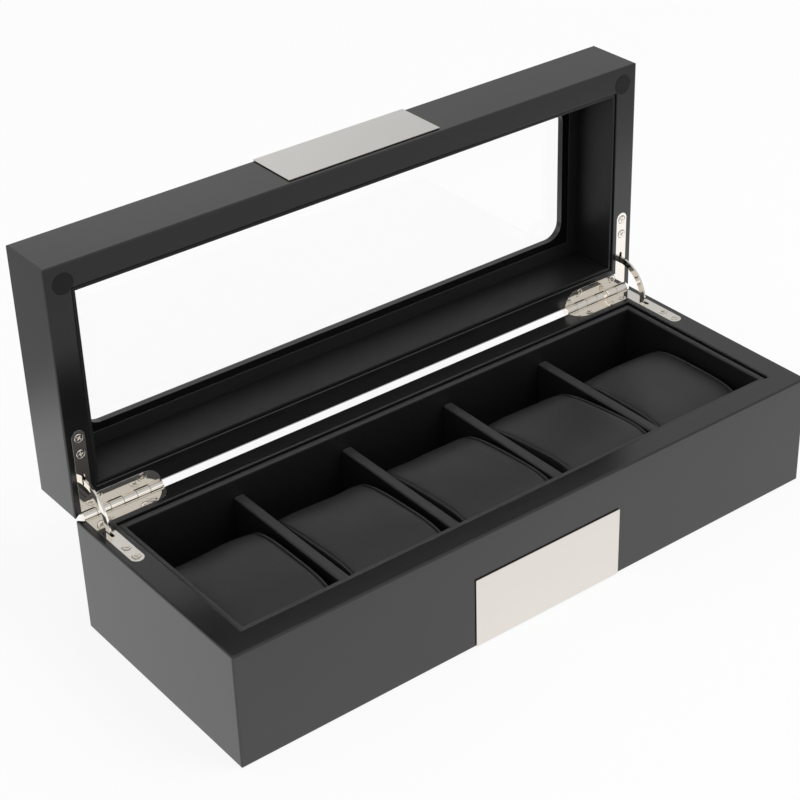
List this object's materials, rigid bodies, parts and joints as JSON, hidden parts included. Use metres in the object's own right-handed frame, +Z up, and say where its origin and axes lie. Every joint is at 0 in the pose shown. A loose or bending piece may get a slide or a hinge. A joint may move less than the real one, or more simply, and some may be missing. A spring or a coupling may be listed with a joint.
{
  "type": "watch box",
  "caption": "Long black watch box with pillows in leatherette bays and a glazed lid on quadrant hinges with curved stays.",
  "frame": {"origin": "middle of the felt base, on the surface that the box stands on", "axes": "+X along the box to the right, -Y to the front where the lid opens, +Z up"},
  "size_m": [0.31, 0.1453, 0.1714],
  "materials": {
    "black_lacquer": "satin black lacquer on wood",
    "lining_leatherette": "matt black leatherette over board",
    "pillow_leatherette": "soft matt black leatherette over a padded roll",
    "nickel": "polished nickel plate",
    "plate_steel": "finely brushed",
    "pad_foam": "black adhesive foam",
    "glass": "clear float glass",
    "felt": "black felt",
    "base_board": "dark hardboard"
  },
  "bodies": {
    "box": {"wall_front": "black_lacquer", "wall_back": "black_lacquer", "wall_left": "black_lacquer", "wall_right": "black_lacquer", "base_board": "base_board", "base_felt": "felt", "body_plate": "plate_steel", "body_plate_pad": "pad_foam", "floor_pad": "lining_leatherette", "liner_front": "lining_leatherette", "liner_back": "lining_leatherette", "liner_left": "lining_leatherette", "liner_right": "lining_leatherette", "divider_1": "lining_leatherette", "divider_2": "lining_leatherette", "divider_3": "lining_leatherette", "divider_4": "lining_leatherette", "base_leaf_left": "nickel", "base_leaf_right": "nickel", "hinge_pin_left": "nickel", "hinge_pin_right": "nickel", "base_hinge_screws": "nickel"},
    "lid": {"lid_rail_front": "black_lacquer", "lid_rail_back": "black_lacquer", "lid_rail_left": "black_lacquer", "lid_rail_right": "black_lacquer", "lid_panel": "black_lacquer", "glass_pane": "glass", "glass_frame": "lining_leatherette", "lid_liner_front": "lining_leatherette", "lid_liner_back": "lining_leatherette", "lid_liner_left": "lining_leatherette", "lid_liner_right": "lining_leatherette", "lid_plate": "plate_steel", "lid_plate_pad": "pad_foam", "lid_bumpers": "felt", "lid_leaf_left": "nickel", "lid_leaf_right": "nickel", "lid_hinge_screws": "nickel"},
    "stay_left": {"stay_left": "nickel"},
    "stay_right": {"stay_right": "nickel"},
    "pillow_1": {"pillow_1": "pillow_leatherette"},
    "pillow_2": {"pillow_2": "pillow_leatherette"},
    "pillow_3": {"pillow_3": "pillow_leatherette"},
    "pillow_4": {"pillow_4": "pillow_leatherette"},
    "pillow_5": {"pillow_5": "pillow_leatherette"}
  },
  "joints": [
    {"name": "lid_hinge", "type": "hinge", "parent": "box", "child": "lid", "pos_m": [0, 0.05775, 0.0552], "axis": [-1, 0, 0], "range_deg": [-90, 0]},
    {"name": "stay_left_turn", "type": "hinge", "parent": "box", "child": "stay_left", "pos_m": [0, 0.05775, 0.0552], "axis": [-1, 0, 0], "range_deg": [-45, 0]},
    {"name": "stay_right_turn", "type": "hinge", "parent": "box", "child": "stay_right", "pos_m": [0, 0.05775, 0.0552], "axis": [-1, 0, 0], "range_deg": [-45, 0]},
    {"name": "pillow_1_lift", "type": "slide", "parent": "box", "child": "pillow_1", "axis": [0, 0, 1], "range_m": [0, 0.06]},
    {"name": "pillow_2_lift", "type": "slide", "parent": "box", "child": "pillow_2", "axis": [0, 0, 1], "range_m": [0, 0.06]},
    {"name": "pillow_3_lift", "type": "slide", "parent": "box", "child": "pillow_3", "axis": [0, 0, 1], "range_m": [0, 0.06]},
    {"name": "pillow_4_lift", "type": "slide", "parent": "box", "child": "pillow_4", "axis": [0, 0, 1], "range_m": [0, 0.06]},
    {"name": "pillow_5_lift", "type": "slide", "parent": "box", "child": "pillow_5", "axis": [0, 0, 1], "range_m": [0, 0.06]}
  ],
  "couplings": [
    {"joint": "stay_left_turn", "follows": "lid_hinge", "ratio": 0.5},
    {"joint": "stay_right_turn", "follows": "lid_hinge", "ratio": 0.5}
  ]
}
